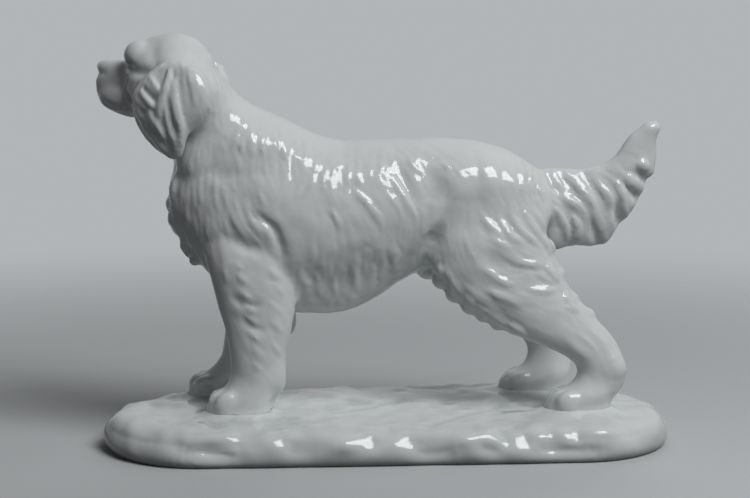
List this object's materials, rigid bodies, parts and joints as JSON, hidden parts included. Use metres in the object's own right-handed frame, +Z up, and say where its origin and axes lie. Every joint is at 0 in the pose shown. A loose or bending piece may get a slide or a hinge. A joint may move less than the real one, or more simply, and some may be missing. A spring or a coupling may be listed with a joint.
{
  "type": "porcelain dog figure",
  "caption": "White glazed porcelain setter standing on a low oval ground plinth, with feathered coat, long ears and raised flag tail; a shelf ornament.",
  "frame": {"origin": "middle of the plinth's underside, on the surface that it stands on", "axes": "+Z up, -X the way the dog faces, -Y the dog's left side"},
  "size_m": [0.2617, 0.098, 0.1866],
  "materials": {
    "white_glaze": "gloss",
    "plinth_glaze": "gloss",
    "fired_slip": "gloss"
  },
  "bodies": {
    "root": {"plinth": "plinth_glaze", "torso": "white_glaze", "head": "white_glaze", "left_ear": "white_glaze", "right_ear": "white_glaze", "tail": "white_glaze", "left_foreleg": "white_glaze", "right_foreleg": "white_glaze", "left_hind_leg": "white_glaze", "right_hind_leg": "white_glaze", "neck_slip_seam": "fired_slip", "tail_slip_seam": "fired_slip", "leg_slip_seams": "fired_slip", "paw_slip_seams": "fired_slip"}
  },
  "joints": []
}
